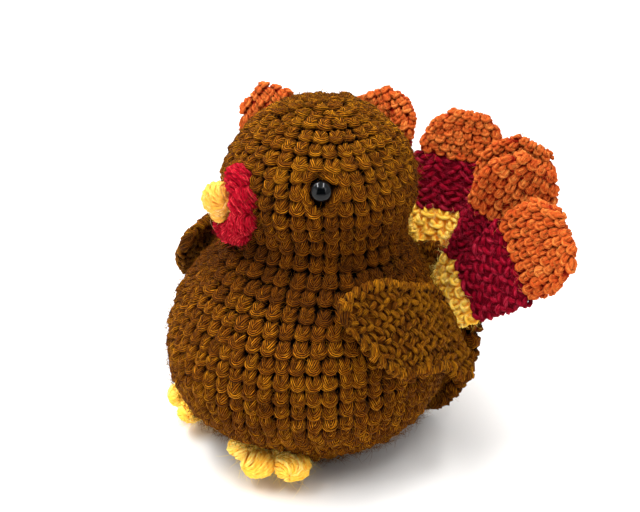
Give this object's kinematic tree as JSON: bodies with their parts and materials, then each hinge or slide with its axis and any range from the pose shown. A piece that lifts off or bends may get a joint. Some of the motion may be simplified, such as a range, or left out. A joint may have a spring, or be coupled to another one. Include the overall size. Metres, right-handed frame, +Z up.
{
  "type": "turkey figure",
  "caption": "Crocheted, stuffed turkey figure that sits on its own base, with a fanned tail, flapping sewn-on wings, plastic eyes, a bobble beak and a curled snood.",
  "frame": {"origin": "centre of the flat patch under the body, on the surface that the figure sits on", "axes": "+Z up, the figure faces -Y, +X towards the figure's own left wing"},
  "size_m": [0.1363, 0.1114, 0.109],
  "materials": {
    "brown_yarn": "worsted acrylic yarn, single crochet, fuzzy",
    "orange_yarn": "worsted acrylic yarn, single crochet, fuzzy",
    "dark_red_yarn": "worsted acrylic yarn, single crochet, fuzzy",
    "gold_yarn": "worsted acrylic yarn, single crochet, fuzzy",
    "yellow_yarn": "worsted acrylic yarn, bobbles",
    "scarlet_yarn": "worsted acrylic yarn, bobbles",
    "eye_black": "polished black",
    "washer_white": "matte white",
    "fibrefill": "polyester fibrefill"
  },
  "bodies": {
    "figure": {"body_cover": "brown_yarn", "head_cover": "brown_yarn", "stuffing": "fibrefill", "eye_left": "eye_black", "eye_right": "eye_black", "eye_washer_left": "washer_white", "eye_washer_right": "washer_white", "beak": "yellow_yarn", "snood": "scarlet_yarn", "foot_left": "yellow_yarn", "foot_right": "yellow_yarn", "tail_disc": "brown_yarn", "feather_1_root": "gold_yarn", "feather_1_band": "dark_red_yarn", "feather_1_tip": "orange_yarn", "feather_2_root": "gold_yarn", "feather_2_band": "dark_red_yarn", "feather_2_tip": "orange_yarn", "feather_3_root": "gold_yarn", "feather_3_band": "dark_red_yarn", "feather_3_tip": "orange_yarn", "feather_4_root": "gold_yarn", "feather_4_band": "dark_red_yarn", "feather_4_tip": "orange_yarn", "feather_5_root": "gold_yarn", "feather_5_band": "dark_red_yarn", "feather_5_tip": "orange_yarn", "feather_6_root": "gold_yarn", "feather_6_band": "dark_red_yarn", "feather_6_tip": "orange_yarn", "feather_7_root": "gold_yarn", "feather_7_band": "dark_red_yarn", "feather_7_tip": "orange_yarn"},
    "left_wing": {"wing_left": "brown_yarn"},
    "right_wing": {"wing_right": "brown_yarn"}
  },
  "joints": [
    {"name": "wing_left_flap", "type": "hinge", "parent": "figure", "child": "left_wing", "pos_m": [0.02622, 0.01104, 0.06114], "axis": [0.2661, -0.9417, 0.2061], "range_deg": [0, 45]},
    {"name": "wing_right_flap", "type": "hinge", "parent": "figure", "child": "right_wing", "pos_m": [-0.02843, 0.00091, 0.06154], "axis": [-0.089, 0.9745, -0.2061], "range_deg": [0, 45]}
  ]
}
